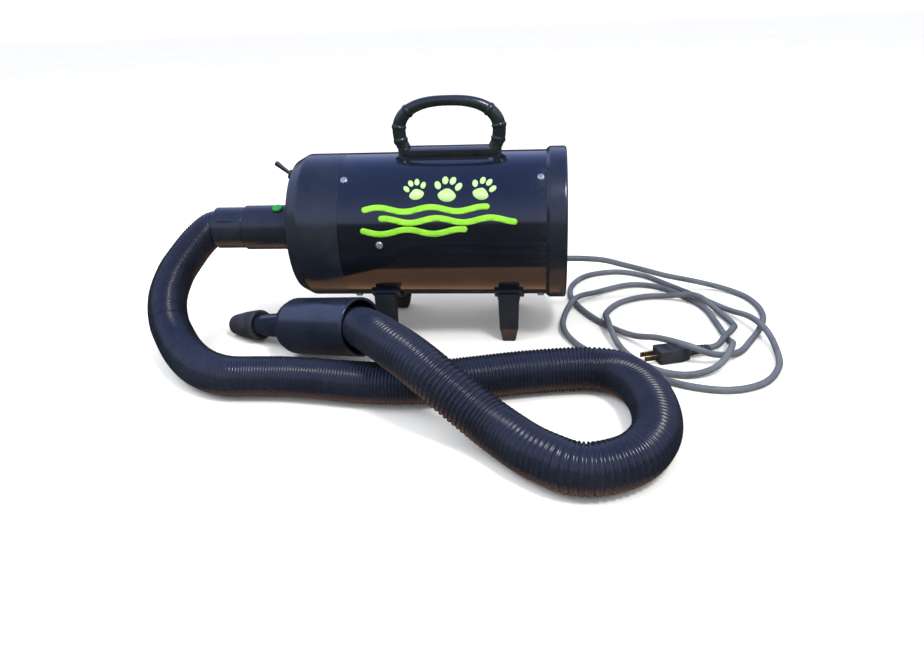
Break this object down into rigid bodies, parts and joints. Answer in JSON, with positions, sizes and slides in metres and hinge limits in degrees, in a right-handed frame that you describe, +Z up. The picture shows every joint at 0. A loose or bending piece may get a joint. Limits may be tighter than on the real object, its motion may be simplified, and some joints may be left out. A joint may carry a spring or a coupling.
{
  "type": "pet dryer",
  "caption": "Portable pet dryer: a round steel blower with a carry handle and foot brackets, a corrugated hose with a wand and nozzle, and a mains lead with a plug.",
  "frame": {"origin": "on the floor, under the middle of the blower's body (hose, wand and mains lead left out)", "axes": "+X along the barrel from the outlet to the air intake, +Z up, -Y the side that faces the user"},
  "size_m": [0.7846, 0.6101, 0.2931],
  "materials": {
    "barrel_paint": "gloss black",
    "bracket_plastic": "satin",
    "brush_carbon": "graphite",
    "button_green": "gloss",
    "cap_plastic": "satin blue-black",
    "coupling_plastic": "satin",
    "cover_plastic": "satin",
    "filter_foam": "open foam",
    "foot_rubber": "matt",
    "gland_black": "satin",
    "handle_plastic": "gloss",
    "hose_plastic": "satin, corrugated",
    "housing_aluminium": "cast",
    "lead_grey": "satin PVC",
    "lever_black": "gloss",
    "motor_steel": "rolled",
    "panel_paint": "satin black",
    "pin_brass": "worn",
    "plug_black": "satin",
    "tip_rubber": "matt",
    "wand_plastic": "satin",
    "winding_copper": "enamelled copper",
    "wire_red": "insulation",
    "zinc_steel": "zinc plated"
  },
  "bodies": {
    "body": {"barrel_shell": "barrel_paint", "front_cap": "cap_plastic", "outlet_coupling": "coupling_plastic", "lock_spring": "zinc_steel", "rear_cap": "cap_plastic", "rear_panel": "panel_paint", "carry_handle": "handle_plastic", "handle_base": "handle_plastic", "handle_screws": "zinc_steel", "foot_bracket_front": "bracket_plastic", "foot_bracket_rear": "bracket_plastic", "rubber_foot_front_near": "foot_rubber", "rubber_foot_front_far": "foot_rubber", "rubber_foot_rear_near": "foot_rubber", "rubber_foot_rear_far": "foot_rubber", "foot_bolts": "zinc_steel", "foot_nuts": "zinc_steel", "front_cap_screws": "zinc_steel", "rear_cap_screws": "zinc_steel", "motor_mount_screws": "zinc_steel", "motor_baffle": "panel_paint", "motor_gasket": "foot_rubber", "fan_housing": "housing_aluminium", "stage_diffuser": "housing_aluminium", "motor_frame": "motor_steel", "stator_core": "motor_steel", "field_coils": "winding_copper", "brush_holders": "winding_copper", "carbon_brushes": "brush_carbon", "front_bearing": "motor_steel", "rear_bearing": "motor_steel", "toggle_switch_body": "cover_plastic", "switch_nut": "zinc_steel", "wiring_harness": "wire_red", "cord_gland": "gland_black", "gland_nut": "gland_black", "power_cord": "lead_grey", "plug_body": "plug_black", "plug_pins": "pin_brass", "plug_strain_relief": "plug_black", "hose": "hose_plastic", "hose_cuff": "coupling_plastic", "wand_sleeve": "wand_plastic", "hose_collar": "coupling_plastic"},
    "rotor": {"motor_shaft": "motor_steel", "armature_core": "motor_steel", "armature_windings": "winding_copper", "commutator": "winding_copper", "impeller_first": "housing_aluminium", "impeller_second": "housing_aluminium", "impeller_spacer": "housing_aluminium", "impeller_nut": "housing_aluminium"},
    "lever": {"toggle_lever": "lever_black"},
    "button": {"lock_button": "button_green"},
    "filter_cover": {"filter_cover": "cover_plastic", "foam_filter": "filter_foam"},
    "nozzle": {"nozzle": "wand_plastic", "nozzle_tip": "tip_rubber"}
  },
  "joints": [
    {"name": "rotor_spin", "type": "hinge", "parent": "body", "child": "rotor", "pos_m": [0, 0, 0.135], "axis": [1, 0, 0], "continuous": true},
    {"name": "switch_toggle", "type": "hinge", "parent": "body", "child": "lever", "pos_m": [-0.13465, 0, 0.20034], "axis": [0, -1, 0], "range_deg": [0, 40]},
    {"name": "lock_button_press", "type": "slide", "parent": "body", "child": "button", "axis": [0, 0.342, -0.9397], "range_m": [0, 0.0016], "stiffness_N_per_m": 900, "springref_m": -0.001},
    {"name": "filter_cover_twist", "type": "hinge", "parent": "body", "child": "filter_cover", "pos_m": [0.186, 0, 0.135], "axis": [1, 0, 0], "range_deg": [0, 30]},
    {"name": "nozzle_turn", "type": "hinge", "parent": "body", "child": "nozzle", "pos_m": [-0.1235, -0.0988, 0.0338], "axis": [0.8501, -0.4908, 0.1908], "continuous": true}
  ]
}
